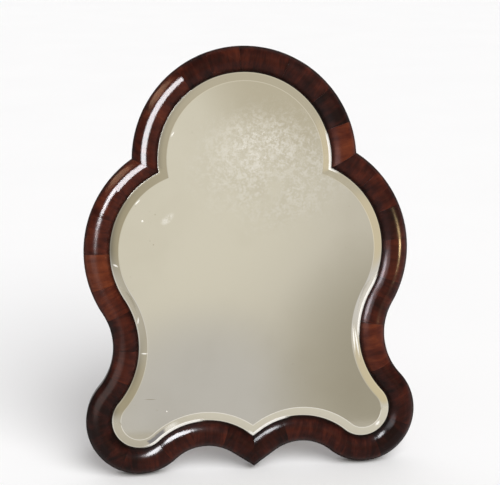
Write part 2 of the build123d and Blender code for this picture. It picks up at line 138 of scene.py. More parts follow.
class FinishColours(bpy.types.PropertyGroup):
    """Colours of the woods, the plate and the metal."""

    mahogany_dark: colour("Dark mahogany", "Darkest blocks and streaks", (0.010, 0.0034, 0.0026))
    mahogany_mid: colour("Mid mahogany", "Most of the blocks", (0.030, 0.0066, 0.0042))
    mahogany_red: colour("Red mahogany", "Redder blocks", (0.070, 0.0138, 0.0068))
    mahogany_ginger: colour("Ginger mahogany", "Lightest blocks", (0.145, 0.0330, 0.0120))
    # The colour that the moulding's edges darken to: partly old polish, partly painted shade.
    polish_dirt: colour("Polish dirt", "Old polish along the edges", (0.006, 0.0035, 0.003))
    silver: colour("Silvering", "Aged silvering under yellowed glass", (0.88, 0.85, 0.76))
    # Also the white of the painted highlights on the plate: its rims, arris and outer edge, chips, glints
    # and flare.
    silver_haze_and_highlight: colour("Silver haze", "Pale clouding in the silvering", (0.97, 0.95, 0.90))
    # The bevel's silvering is darker than the face's: painted shade for the bevel's darker reflections.
    bevel_shade: colour("Bevel shade", "Silvering seen through the bevel", (0.645, 0.61, 0.535))
    # Painted shade: darker silvering in the bevel on the left, deepest at the left waist.
    bevel_left_shade: colour("Dull bevel shade", "Duller silvering in the bevel, on the left", (0.47, 0.43, 0.335))
    # Painted shade: silvering in the bevel a little darker and warmer low down, against the floor's bright
    # reflection.
    bevel_foot_shade: colour("Bevel's foot", "Paler silvering in the bevel, low down", (0.64, 0.60, 0.49))
    silver_worn: colour("Worn silvering", "Where the silvering has thinned to grey", (0.25, 0.24, 0.235))
    silver_stain: colour("Silver stain", "Foxing in the silvering", (0.42, 0.36, 0.24))
    ground_stain: colour("Ground stain", "Stained edge of the ground", (0.045, 0.016, 0.009))
    bare_wood: colour("Bare softwood", "Wedges and unstained wood", (0.46, 0.30, 0.15))
    board: colour("Backboard", "Old stained board", (0.155, 0.072, 0.032))
    board_dark: colour("Backboard grain", "Dark grain of the board", (0.050, 0.021, 0.010))
    strut: colour("Strut", "Stained strut", (0.105, 0.034, 0.015))
    strut_dark: colour("Strut grain", "Dark grain of the strut", (0.030, 0.010, 0.006))
    brass: colour("Brass", "Worn brass", (0.62, 0.43, 0.17))
    tarnish: colour("Tarnish", "Brown tarnish on the brass", (0.10, 0.06, 0.028))


class StageLevels(bpy.types.PropertyGroup):
    """Colours and strengths of the studio."""

    floor: colour("Floor", "Pale studio floor", (0.90, 0.90, 0.91))
    floor_far: colour("Far floor", "Greyer floor, out in the room before the mirror", (0.42, 0.395, 0.345))
    backdrop: colour("Backdrop", "White studio behind the mirror", (0.90, 0.90, 0.91))
    room: colour("Room", "Grey studio before the mirror", (0.28, 0.275, 0.265))
    card: colour("Card", "Pale card that the plate shows", (0.60, 0.575, 0.52))
    card_rim: colour("Card rim", "Outer part of the card, which the bevel shows", (0.70, 0.66, 0.55))
    card_light: colour("Card's light part", "Lightest part of the card, high up", (0.71, 0.685, 0.61))
    card_dim: colour("Card's low corner", "Duller part of the card, low on the right", (0.37, 0.345, 0.285))
    card_top: colour("Card's top", "Duller part of the card, at the top", (0.53, 0.49, 0.40))
    card_low: colour("Card's foot", "Greyer part of the card, low down", (0.54, 0.53, 0.525))
    card_side: colour("Card's right edge", "Brighter part of the card, on the right", (0.88, 0.80, 0.62))
    key: level("Key", "Strength of the key light", 2.4)


def polar(centre, radius, turn):
    """Point at a radius and an angle from a centre."""
    return centre + radius * Vector((math.cos(turn), math.sin(turn)))


def heading(start, end):
    """Angle of the way from one point to another."""
    return math.atan2(end.y - start.y, end.x - start.x)


def left_of(way):
    """A way turned a quarter to the left."""
    return Vector((-way.y, way.x))


def meet(centre, radius, other, other_radius):
    """Where two circles meet, on the left of the way from the first centre to the other."""
    way = other - centre
    along = (way.length_squared + radius**2 - other_radius**2) / (2 * way.length)
    across = math.sqrt(radius**2 - along**2)
    ahead = way.normalized()
    return centre + along * ahead + across * left_of(ahead)


class Bend:
    """An arc of the outer edge, with the frame inside it (side -1) or outside it (side 1)."""

    def __init__(self, centre, radius, start, end, side, width):
        self.centre = centre
        self.radius = radius
        self.start = start
        self.side = side
        self.turn = math.copysign(1, end - start)
        self.middle_radius = radius + side * width / 2
        self.length = self.middle_radius * abs(end - start)

    def point(self, station, inset):
        """Place at a distance along the bend and an inset from its outer edge."""
        turn = self.start + self.turn * station / self.middle_radius
        return polar(self.centre, self.radius + self.side * inset, turn)

    def station(self, turn):
        """Distance along the middle of the frame at an angle."""
        return (turn - self.start) * self.turn * self.middle_radius


class Straight:
    """A straight stretch of the outer edge, with the frame on the right of its way."""

    def __init__(self, start, ahead, reach):
        self.start = start
        self.ahead = ahead
        self.inward = -left_of(ahead)
        self.length = reach

    def point(self, station, inset):
        """Place at a distance along the stretch and an inset from its outer edge."""
        return self.start + station * self.ahead + inset * self.inward


class Run:
    """Stretches in a row, with the stations at which a given inset begins and ends."""

    def __init__(self, stretches, begin, finish, side=1):
        self.stretches = stretches
        self.begin = begin
        self.finish = finish
        self.side = side
        self.length = sum(stretch.length for stretch in stretches)

    def point(self, station, inset):
        """Place on the bench, mirrored for the left-hand side."""
        for stretch in self.stretches[:-1]:
            if station < stretch.length:
                break
            station -= stretch.length
        else:
            stretch = self.stretches[-1]
        place = stretch.point(station, inset)
        return Vector((self.side * place.x, place.y))


class Outline:
    """The arcs of the frame's outer edge on the bench: X across, Y up the face."""

    def __init__(self, sizes):
        self.sizes = sizes
        self.crown = Vector((0, sizes.height - sizes.crown_radius))
        self.shoulder = Vector((sizes.shoulder_spread, self.crown.y - sizes.crown_rise))
        self.lobe = Vector((sizes.lobe_spread, sizes.lobe_radius))
        to_shoulder = sizes.shoulder_radius + sizes.waist_radius
        to_lobe = sizes.lobe_radius + sizes.waist_radius
        self.waist = meet(self.shoulder, to_shoulder, self.lobe, to_lobe)
        arch_y = sizes.arch_crest - sizes.arch_radius
        reach = math.sqrt((sizes.lobe_radius + sizes.arch_radius) ** 2 - (sizes.lobe_radius - arch_y) ** 2)
        self.arch = Vector((sizes.lobe_spread - reach, arch_y))

    def notch(self, inset):
        """Corner between the crown and the right shoulder, at an inset from the outer edge."""
        crown_radius = self.sizes.crown_radius - inset
        shoulder_radius = self.sizes.shoulder_radius - inset
        return meet(self.crown, crown_radius, self.shoulder, shoulder_radius)

    def bends(self, inset):
        """Centre, outer radius, first and last angle and side of each bend, down from a notch's inset."""
        sizes = self.sizes
        shoulder_start = heading(self.shoulder, self.notch(inset))
        shoulder_end = heading(self.shoulder, self.waist)
        lobe_start = heading(self.lobe, self.waist)
        lobe_end = heading(self.lobe, self.arch)
        past_middle = min(1.0, self.arch.x / (sizes.arch_radius + inset))
        arch_end = math.pi / 2 + min(sizes.cusp_slope, math.asin(past_middle))
        return (
            (self.shoulder, sizes.shoulder_radius, shoulder_start, shoulder_end, -1),
            (self.waist, sizes.waist_radius, shoulder_end + math.pi, lobe_start + math.pi, 1),
            (self.lobe, sizes.lobe_radius, lobe_start, lobe_end, -1),
            (self.arch, sizes.arch_radius, lobe_end + math.pi, arch_end, 1),
        )

    def ring(self, inset, steps):
        """Closed ring of points at an inset, from the cusp up the right-hand side and down the left."""
        sizes = self.sizes
        side = []
        for centre, radius, begin, finish, way in self.bends(inset):
            turns = [begin + (finish - begin) * step / steps for step in range(steps)]
            side += [polar(centre, radius + way * inset, turn) for turn in turns]
            last = polar(centre, radius + way * inset, finish)
        cusp = Vector((0, last.y - last.x * math.tan(sizes.cusp_slope)))
        end = heading(self.crown, self.notch(inset))
        arc = [end + (math.pi - 2 * end) * step / steps for step in range(1, steps)]
        crown = [polar(self.crown, sizes.crown_radius - inset, turn) for turn in arc]
        return [cusp, *reversed(side), *crown, *(Vector((-place.x, place.y)) for place in side)]

    def crown_run(self):
        """From the left notch over the crown to the right notch."""
        width = self.sizes.width
        end = heading(self.crown, self.notch(width / 2))
        bend = Bend(self.crown, self.sizes.crown_radius, math.pi - end, end, -1, width)

        def finish(inset):
            return bend.station(heading(self.crown, self.notch(inset)))

        return Run([bend], lambda inset: bend.length - finish(inset), finish)

    def side_run(self, side):
        """From a notch down shoulder, waist and lobe, and along the arch to the cusp."""
        sizes = self.sizes
        width = sizes.width
        bends = [Bend(*bend, width) for bend in self.bends(width / 2)]
        before = sum(bend.length for bend in bends)
        arch_end = math.pi / 2 + sizes.cusp_slope
        ahead = left_of(Vector((math.cos(arch_end), math.sin(arch_end))))
        middle = polar(self.arch, sizes.arch_radius + width / 2, arch_end)
        last = Straight(polar(self.arch, sizes.arch_radius, arch_end), ahead, middle.x / -ahead.x)

        def begin(inset):
            return bends[0].station(heading(self.shoulder, self.notch(inset)))

        def finish(inset):
            return before - (last.start.x + inset * last.inward.x) / last.ahead.x

        return Run([*bends, last], begin, finish, side)


def bench_to_row(sizes):
    """Stands the bench up: the mirror leans back on its strut, and the hinge ties the two frames."""
    stood = Matrix.Rotation(math.pi / 2 - sizes.lean, 4, "X")
    hinge = stood @ Vector((0, sizes.hinge_height, -sizes.hinge_depth))
    return Matrix.Translation((0, HINGE.y - hinge.y, -sizes.standing_flat)) @ stood


# How finely the moulding is divided: across its section, along its run and across a joint's sunk line
ARC_STEPS = 22
STATION_STEP = 2.2 * MM
LINE_SHARES = (0.0, 0.12, 0.38, 1.0)

# Lengths of the hollows in the polished faces, and how far apart the blocks lay in the timber
RIPPLE_LENGTH = 9 * MM
SWELL_LENGTH = 34 * MM
BLOCK_SPACING = 0.37

# How finely the plate is divided: along each arc and across the bevel
PLATE_STEPS = 40
BEVEL_RINGS = 9


def section(sizes):
    """Rounded section as insets, heights and outward ways, from the outer land to the inner one."""
    half = sizes.width / 2
    sagitta = sizes.rise - sizes.land
    radius = (half**2 + sagitta**2) / (2 * sagitta)
    swing = math.asin(half / radius)
    centre = sizes.ground_depth + sizes.rise - radius
    low = sizes.ground_depth
    points = [(0.0, low, None)]
    for step in range(ARC_STEPS + 1):
        tilt = swing * (2 * step / ARC_STEPS - 1)
        way = Vector((math.sin(tilt), math.cos(tilt)))
        points.append((half + radius * way.x, centre + radius * way.y, way))
    points.append((sizes.width, low, None))
    return points


def stations(begin, finish, line, count):
    """Stations between two ends, close together across the sunk line at each end."""
    near = [begin + line * share for share in LINE_SHARES]
    far = [finish - line * share for share in reversed(LINE_SHARES)]
    step = (far[0] - near[-1]) / count
    return near + [near[-1] + step * place for place in range(1, count)] + far


def joint_drop(distance, sizes):
    """How far the face sinks at a distance from a joint."""
    return sizes.joint_sink * max(0.0, 1 - distance / sizes.joint_line) ** 2


def hollow(place, sizes):
    """Depth of the uneven polished face at a place."""
    ripple = noise.noise(place / RIPPLE_LENGTH)
    swell = noise.noise(place / SWELL_LENGTH)
    return sizes.unevenness * (0.5 + 0.25 * ripple + 0.25 * swell)


def wall_faces(rows, width):
    """Faces between rows of points, each row a closed ring."""
    faces = []
    for row in range(rows - 1):
        for column in range(width):
            here = row * width + column
            after = row * width + (column + 1) % width
            faces.append((here, after, after + width, here + width))
    return faces


def stood_mesh(name, places, faces, smooth, sizes):
    """Mesh of a piece that is laid out on the bench, stood up in its place."""
    mesh = bpy.data.meshes.new(name)
    mesh.from_pydata(places, [], faces)
    mesh.polygons.foreach_set("use_smooth", smooth)
    mesh.transform(bench_to_row(sizes))
    mesh.update()
    return mesh


def add_attribute(mesh, name, kind, values):
    """Stores a value for each point of a mesh."""
    attribute = mesh.attributes.new(name, kind, "POINT")
    attribute.data.foreach_set("vector" if kind == "FLOAT_VECTOR" else "value", values)


def block_mesh(name, run, low, high, number, sizes):
    """Closed mesh of one block between two joints, with its grain across the run."""
    points = section(sizes)
    half = sizes.width / 2
    count = max(2, round((high(half) - low(half)) / STATION_STEP))
    columns = [stations(low(inset), high(inset), sizes.joint_line, count) for inset, _, _ in points]
    height = len(columns[0])
    width = len(points)
    middle_station = (low(half) + high(half)) / 2
    middle = run.point(middle_station, half)
    across = (run.point(middle_station, sizes.width) - run.point(middle_station, 0)).normalized()
    along = left_of(across)
    stock = Vector((BLOCK_SPACING * number, run.side * BLOCK_SPACING, 0))
    places, grain, edge, joint = [], [], [], []
    for row in range(height):
        for (inset, rise, way), column in zip(points, columns):
            station = column[row]
            distance = min(station - column[0], column[-1] - station)
            if way:
                flat = run.point(station, inset)
                drop = joint_drop(distance, sizes) + hollow(Vector((flat.x, flat.y, rise)), sizes)
                inset -= drop * way.x
                rise -= drop * way.y
            flat = run.point(station, inset)
            places.append(Vector((flat.x, flat.y, rise)))
            offset = flat - middle
            grain.extend(stock + Vector((offset.dot(along), offset.dot(across), rise)))
            edge.append(min(inset, sizes.width - inset) / half)
            joint.append(max(0.0, 1 - distance / sizes.joint_line))
    faces = wall_faces(height, width)
    smooth = [0 < at % width < width - 2 for at in range(len(faces))] + [False, False]
    faces.append(tuple(reversed(range(width))))
    faces.append(tuple(range((height - 1) * width, height * width)))
    if run.side > 0:
        faces = [tuple(reversed(face)) for face in faces]
    mesh = stood_mesh(name, places, faces, smooth, sizes)
    add_attribute(mesh, "grain", "FLOAT_VECTOR", grain)
    add_attribute(mesh, "edge", "FLOAT", edge)
    add_attribute(mesh, "joint", "FLOAT", joint)
    return mesh


def bevel_profile(sizes):
    """Insets, heights over the plate's back and shares across the bevel, from the edge inwards."""
    outer = sizes.width - sizes.rebate + sizes.plate_play
    slope = (sizes.plate_thickness - sizes.plate_edge) / sizes.bevel_width
    hidden = sizes.width - outer
    shown = sizes.bevel_width - hidden
    profile = [(outer, sizes.plate_edge, 1.0)]
    for ring in range(BEVEL_RINGS + 1):
        share = ring / BEVEL_RINGS
        across = hidden + share * shown
        swell = sizes.bevel_swell * 4 * share * (1 - share)
        profile.append((outer + across, sizes.plate_edge + slope * across + swell, 1 - share))
    return profile


def plate_mesh(name, sizes):
    """Closed mesh of the plate: flat back, square edge, bevel with a slight swell, flat face."""
    outline = Outline(sizes)
    profile = bevel_profile(sizes)
    lip = next(height for inset, height, _ in profile if inset >= sizes.width)
    back = sizes.ground_depth - sizes.plate_seat - lip
    levels = [(profile[0][0], 0.0, 1.0), *profile]
    rings = [outline.ring(inset, PLATE_STEPS) for inset, _, _ in levels]
    count = len(rings[0])
    places = [
        (flat.x, flat.y, back + height)
        for ring, (_, height, _) in zip(rings, levels)
        for flat in ring
    ]
    top = (len(levels) - 1) * count
    back_face = tuple(reversed(range(count)))
    front_face = tuple(range(top, top + count))
    faces = [back_face, *wall_faces(len(levels), count), front_face]
    smooth = [count < at < len(faces) - 1 for at in range(len(faces))]
    mesh = stood_mesh(name, places, faces, smooth, sizes)
    add_attribute(mesh, "bevel", "FLOAT", [share for _, _, share in levels for _ in range(count)])
    return mesh


class Field:
    """A socket whose value changes over a surface. Sums and products of fields add Math nodes."""

    def __init__(self, finish, socket):
        self.finish = finish
        self.socket = socket

    def __add__(self, other):
        return self.finish.math("ADD", self, other)

    def __sub__(self, other):
        return self.finish.math("SUBTRACT", self, other)

    def __rsub__(self, other):
        return self.finish.math("SUBTRACT", other, self)

    def __mul__(self, other):
        return self.finish.math("MULTIPLY", self, other)

    __radd__ = __add__
    __rmul__ = __mul__

    def sway(self, share):
        """How far a cloudy value swings from its middle, times a share."""
        return (self - 0.5) * share


class Finish:
    """A node tree under construction."""

    def __init__(self, owner):
        owner.use_nodes = True
        self.tree = owner.node_tree
        self.tree.nodes.clear()

    def node(self, kind, settings=None, sockets=None):
        """Adds a node, sets it up, then gives its sockets their values or links."""
        made = self.tree.nodes.new("ShaderNode" + kind)
        for name, value in (settings or {}).items():
            if name == "stops":
                self.set_stops(made.color_ramp, value)
            else:
                setattr(made, name, value)
        for place, value in (sockets or {}).items():
            if isinstance(value, Field):
                self.tree.links.new(value.socket, made.inputs[place])
            else:
                made.inputs[place].default_value = value
        return made

    def field(self, kind, settings=None, sockets=None, output=0):
        """Adds a node and gives one of its outputs."""
        return Field(self, self.node(kind, settings, sockets).outputs[output])

    @staticmethod
    def set_stops(ramp, stops):
        """Gives a colour ramp its places and colours."""
        while len(ramp.elements) < len(stops):
            ramp.elements.new(1.0)
        for element, (place, tint) in zip(ramp.elements, stops):
            element.position = place
            element.color = (*tint, 1.0)

    def math(self, operation, *terms):
        """A value worked out from fields and numbers."""
        return self.field("Math", {"operation": operation}, dict(enumerate(terms)))

    def vector(self, operation, *terms, output="Vector"):
        """A vector, or its Value, worked out from vectors."""
        return self.field("VectorMath", {"operation": operation}, dict(enumerate(terms)), output)

    def turned(self, vector, axis, angle):
        """A vector turned about an axis."""
        return self.field("VectorRotate", {"rotation_type": axis}, {"Vector": vector, "Angle": angle})

    def part(self, vector, axis):
        """One part of a vector, by its letter."""
        return self.field("SeparateXYZ", None, {0: vector}, axis)

    def place(self):
        """Places in the shared frame, in metres."""
        return self.field("TexCoord", output="Object")

    def attribute(self, name, output="Fac"):
        """A value stored on the mesh."""
        return self.field("Attribute", {"attribute_name": name}, output=output)

    def noise(self, vector, scale, detail=2.0, roughness=0.5, distortion=0.0):
        """Cloudy values about a half, at so many clouds per metre each way."""
        sockets = {
            "Vector": self.vector("MULTIPLY", vector, scale),
            "Scale": 1.0,
            "Detail": detail,
            "Roughness": roughness,
            "Distortion": distortion,
        }
        return self.field("TexNoise", None, sockets)

    def specks(self, vector, scale):
        """Distance from the nearest of scattered points, in parts of their spacing."""
        return self.field("TexVoronoi", None, {"Vector": vector, "Scale": scale})

    def band(self, value, low, high):
        """Nought below one value, one above another, smooth between them."""
        sockets = {"Value": value, "From Min": low, "From Max": high}
        return self.field("MapRange", {"interpolation_type": "SMOOTHSTEP"}, sockets)

    def ramp(self, value, stops):
        """Colour by a value, between colours at given places."""
        return self.field("ValToRGB", {"stops": stops}, {0: value})

    def mix(self, share, first, second):
        """Colour between two colours."""
        sockets = {0: share, 6: rgba(first), 7: rgba(second)}
        return self.field("Mix", {"data_type": "RGBA"}, sockets, output=2)

    def bump(self, height, distance, strength=1.0):
        """Normal of a surface whose height changes by up to a distance."""
        return self.field("Bump", None, {"Height": height, "Distance": distance, "Strength": strength})

    def shader(self, sockets):
        """A surface shader."""
        return self.field("BsdfPrincipled", None, sockets)

    def end(self, shader):
        """Ends the tree in a shader that is made already."""
        self.node("OutputMaterial", None, {"Surface": shader})

    def surface(self, sockets):
        """Ends the tree in one shader."""
        self.end(self.shader(sockets))


def rgba(tint):
    """A colour with its alpha, or a linked colour as it is."""
    return tint if isinstance(tint, Field) else (*tint, 1.0)


def new_finish(name):
    """An empty material and its tree."""
    material = bpy.data.materials.new(name)
    return material, Finish(material)


# Mahogany: clouds per metre along the run, across it and through the block, and what each adds
FIGURE_SCALE = (210, 26, 90)
STREAK_SCALE = (900, 40, 420)
PORE_SCALE = (3200, 160, 1500)
SHADE_SCALE = (60, 45, 60)
FIGURE_SHARE = 0.60
STREAK_SHARE = 0.24
SHADE_SHARE = 0.95
PORE_BAND = (0.60, 0.72)
EDGE_BAND = (0.02, 0.30)
EDGE_SWAY = 0.10
PORE_DIRT = 0.30
JOINT_DIRT = 0.7
EDGE_DIRT_AND_SHADE = 0.65
STREAK_HEIGHT = 0.5
PORE_HEIGHT = 0.3
PORE_BUMP = 0.06 * MM
POLISH_ROUGHNESS = 0.11
POLISH_CLOUDING = 0.08
RUB_ROUGHNESS = 0.25
POLISH_SPECULAR = 0.10
EDGE_ROUGHNESS = 0.45
EDGE_CLOUDING = 0.1
EDGE_SPECULAR = 0.03


def polished_mahogany(colours):
    """Cross-grain mahogany under old glossy polish: streaks run across each block."""
    material, finish = new_finish("polished_mahogany")
    grain = finish.attribute("grain", "Vector")
    tone = finish.attribute("tone")
    edge = finish.attribute("edge")
    figure = finish.noise(grain, FIGURE_SCALE, detail=3, distortion=0.6)
    streaks = finish.noise(grain, STREAK_SCALE, detail=2, distortion=0.3)
    pores = finish.noise(grain, PORE_SCALE, detail=1)
    cloud = finish.noise(grain, SHADE_SCALE, detail=2)
    shade = tone + figure.sway(FIGURE_SHARE) + streaks.sway(STREAK_SHARE) + cloud.sway(SHADE_SHARE)
    stops = (
        (0.0, colours.mahogany_dark),
        (0.30, colours.mahogany_mid),
        (0.60, colours.mahogany_red),
        (1.0, colours.mahogany_ginger),
    )
    dark_pores = finish.band(pores, *PORE_BAND) * PORE_DIRT
    dark_joints = finish.attribute("joint") * JOINT_DIRT
    # Both edges of each block darken: partly old polish dirt, partly painted shade where the section curves
    # away.
    worn = 1 - finish.band(edge + cloud.sway(EDGE_SWAY), *EDGE_BAND)
    dirt = finish.math("MAXIMUM", dark_pores, dark_joints) + worn * EDGE_DIRT_AND_SHADE
    base = finish.mix(dirt, finish.ramp(shade, stops), colours.polish_dirt)
    normal = finish.bump(streaks * STREAK_HEIGHT + pores * PORE_HEIGHT, PORE_BUMP)
    rub = finish.attribute("rub")
    polished = finish.shader({
        "Base Color": base,
        "Roughness": POLISH_ROUGHNESS + cloud * POLISH_CLOUDING + rub * RUB_ROUGHNESS,
        "Specular IOR Level": POLISH_SPECULAR,
        "Normal": normal,
    })
    rubbed = finish.shader({
        "Base Color": base,
        "Roughness": EDGE_ROUGHNESS + cloud * EDGE_CLOUDING,
        "Specular IOR Level": EDGE_SPECULAR,
        "Normal": normal,
    })
    finish.end(finish.field("MixShader", None, {0: worn, 1: polished, 2: rubbed}))
    return material


def up_the_piece(finish, tilt, start=(0.0, 0.0, 0.0)):
    """Places from a start, turned so that Y runs up a piece that leans back by a tilt."""
    moved = finish.vector("SUBTRACT", finish.place(), start)
    return finish.turned(moved, "X_AXIS", tilt - math.pi / 2)


# Long grain: rings per cloud, fine lines per ring, dust, and what each adds
RING_COUNT = 9
FINE_COUNT = 8
DUST_SCALE = (18, 14, 18)
LINE_BAND = (0.1, 0.9)
LINE_SWAY = 0.5
LINE_SHARE = 0.55
FINE_SHARE = 0.5
DUST_SHARE = 0.6
LEAST_SHARE = 0.2
DUST_ROUGHNESS = 0.25
LONG_GRAIN_SPECULAR = 0.2
LINE_HEIGHT = 0.5
LONG_GRAIN_BUMP = 0.2 * MM
LONG_GRAIN_BUMP_SHARE = 0.6

# Each wood's own clouds per metre across, up and through it, and its roughness
WEDGE_GRAIN = ((90, 12, 90), 0.6)
BOARD_GRAIN = ((42, 3, 30), 0.45)
BLOCK_GRAIN = ((70, 7, 60), 0.35)
STRUT_GRAIN = ((70, 5, 60), 0.35)
BARE_WOOD_SHADE = 0.6


def long_grain(name, colours, tilt, scale, roughness):
    """Stained wood with its grain up the piece, worn and dusty in places."""
    light, dark = colours
    material, finish = new_finish(name)
    place = up_the_piece(finish, tilt)
    ring = finish.noise(place, scale, detail=3, distortion=1.2)
    fine = finish.noise(place, tuple(FINE_COUNT * part for part in scale), detail=2)
    dust = finish.noise(place, DUST_SCALE, detail=3)
    rings = finish.math("PINGPONG", ring * RING_COUNT, 1.0)
    lines = finish.band(rings + fine.sway(LINE_SWAY), *LINE_BAND)
    share = lines * LINE_SHARE + fine.sway(FINE_SHARE) + dust.sway(DUST_SHARE) + LEAST_SHARE
    finish.surface({
        "Base Color": finish.ramp(share, ((0.0, light), (1.0, dark))),
        "Roughness": roughness + dust * DUST_ROUGHNESS,
        "Specular IOR Level": LONG_GRAIN_SPECULAR,
        "Normal": finish.bump(fine + lines * LINE_HEIGHT, LONG_GRAIN_BUMP, LONG_GRAIN_BUMP_SHARE),
    })
    return material


class Mark(NamedTuple):
    """An oval on the plate: its middle and its two reaches in millimetres, and its turn in degrees."""

    middle: tuple
    reach: tuple
    turn: float = 0.0


# Worn and hazed marks, painted shade, painted highlights and a pale patch, by their places on the bench
ARCH_TURN = 28
WORN = Mark((-115, 43), (17, 60), ARCH_TURN)
# Partly the pale halo of the worn strip, partly a painted highlight on the bevel.
FLARE = Mark((-97, 53), (13, 9), ARCH_TURN)
SCRATCH = Mark((-121, 88.3), (9, 0.7), -3)
# A pale, rough patch on the face, left of the middle.
PALE_PATCH = Mark((-94, 300), (12, 6), 40)
# Painted shade over the floor's bright reflection in the bevel at the left waist.
LEFT_WAIST_SHADE = Mark((-136.5, 190), (56, 14), -76)
# Painted highlight: where the pale line along the bevel's outer edge is brightest, at the right notch.
NOTCH_HIGHLIGHT = Mark((100, 372), (14, 40))
HAZE = Mark((34, 360), (130, 98))
CORE = Mark((12, 386), (75, 50))
# Painted highlights: bright lines along the bevel's outer rim at the arch, the cusp, the right notch and
# the right waist.
RIM_HIGHLIGHTS = (
    Mark((-93, 50), (50, 18), ARCH_TURN),
    Mark((18, 49), (34, 16), 27),
    Mark((102, 372), (22, 34)),
    Mark((139, 190), (52, 26), 69),
)
# Small chips in the glass, and painted glints on the bevel and face, among them long lines down the right
# waist.
CHIPS_AND_GLINTS = (
    Mark((-156, 248), (4.5, 1.5), -28),
    Mark((-132, 182), (5.5, 1.2), 84),
    Mark((-126, 143), (5, 1.2), -2),
    Mark((-84.6, 399), (5, 1.2), 57),
    Mark((-128, 321), (6, 1.2), 45),
    Mark((-123, 299), (1.8, 1.8)),
    Mark((-102, 73), (1.1, 1.1)),
    Mark((152, 45), (5, 2.5), 45),
    Mark((125, 149), (22, 1.5), -86),
    Mark((128.6, 145.6), (25, 1.5), -82),
)
MARK_FADE = (0.0, 0.8)

# Silvering: clouds per metre each way, and the values between which each effect comes in
CLOUD_SCALE = (9, 9, 9)
MOTTLE_SCALE = (160, 160, 160)
FINE_SCALE = (420, 420, 420)
DRIFT_SCALE = (28, 28, 28)
FOX_SCALE = 90.0
FOX_REACH = 0.12
FOX_FADE = (0.0, 0.08)
FOXED_BAND = (0.54, 0.64)
WARM_BAND = (0.45, 0.75)
DRIFT_BAND = (0.24, 0.52)
HAZE_MOTTLE = 0.55
HAZE_BAND = (0.44, 0.60)
CORE_MOTTLE = 0.5
CORE_BAND = (0.24, 0.76)
PALE_PATCH_BAND = (0.40, 0.62)
STRIP_SWAY = 0.7
STRIP_BAND = (0.10, 0.50)
LEFT_WAIST_SHADE_FADE = (0.0, 0.5)
RIM_FADE = (0.0, 0.5)
LOW_BEVEL = (70 * MM, 140 * MM)
LEFT_SHADE_FADE = (-150 * MM, -40 * MM)

# Shares across the bevel, from its inner arris (0) to the moulding (1)
BEVEL_START = (0.0, 0.08)
ARRIS_START = (0.0, 0.03)
ARRIS_END = (0.05, 0.12)
FLARE_BAND = (0.10, 0.30)
WORN_SWAY = 0.3
WORN_BAND = (0.20, 0.36)
RIM_BAND = (0.66, 0.78)
OUTER_HIGHLIGHT_BAND = (0.78, 0.90)

# How strongly each effect shows: in the silvering's colour, as ground glass and matt white painted
# highlights, and in its roughness
DRIFT_STAIN = 0.12
HAZE_SHARE = 0.9
FOX_SHARE = 0.30
WARM_SHARE = 0.10
SCRATCH_SHARE = 0.6
LEFT_SHADE_SHARE = 0.85
LEFT_WAIST_SHADE_SHARE = 0.9
WORN_SHARE = 0.55
WORN_MOTTLE = 0.8
OUTER_HIGHLIGHT_SHARE = 0.3
NOTCH_HIGHLIGHT_SHARE = 0.7
ARRIS_HIGHLIGHT_SHARE = 0.5
ARRIS_HIGHLIGHT_LOSS = 0.25
FLARE_GLASS = 0.2
FLARE_MOTTLE = 0.6
HAZE_GLASS = 0.09
CORE_GLASS = 0.28
PALE_PATCH_GLASS = 0.3
GLASS_AND_HIGHLIGHT_METAL_LOSS = 0.9
GLASS_AND_HIGHLIGHT_ROUGHNESS = 0.3
SILVER_ROUGHNESS = 0.04
HAZE_ROUGHNESS = 0.06
FOX_ROUGHNESS = 0.15
PALE_PATCH_ROUGHNESS = 0.05


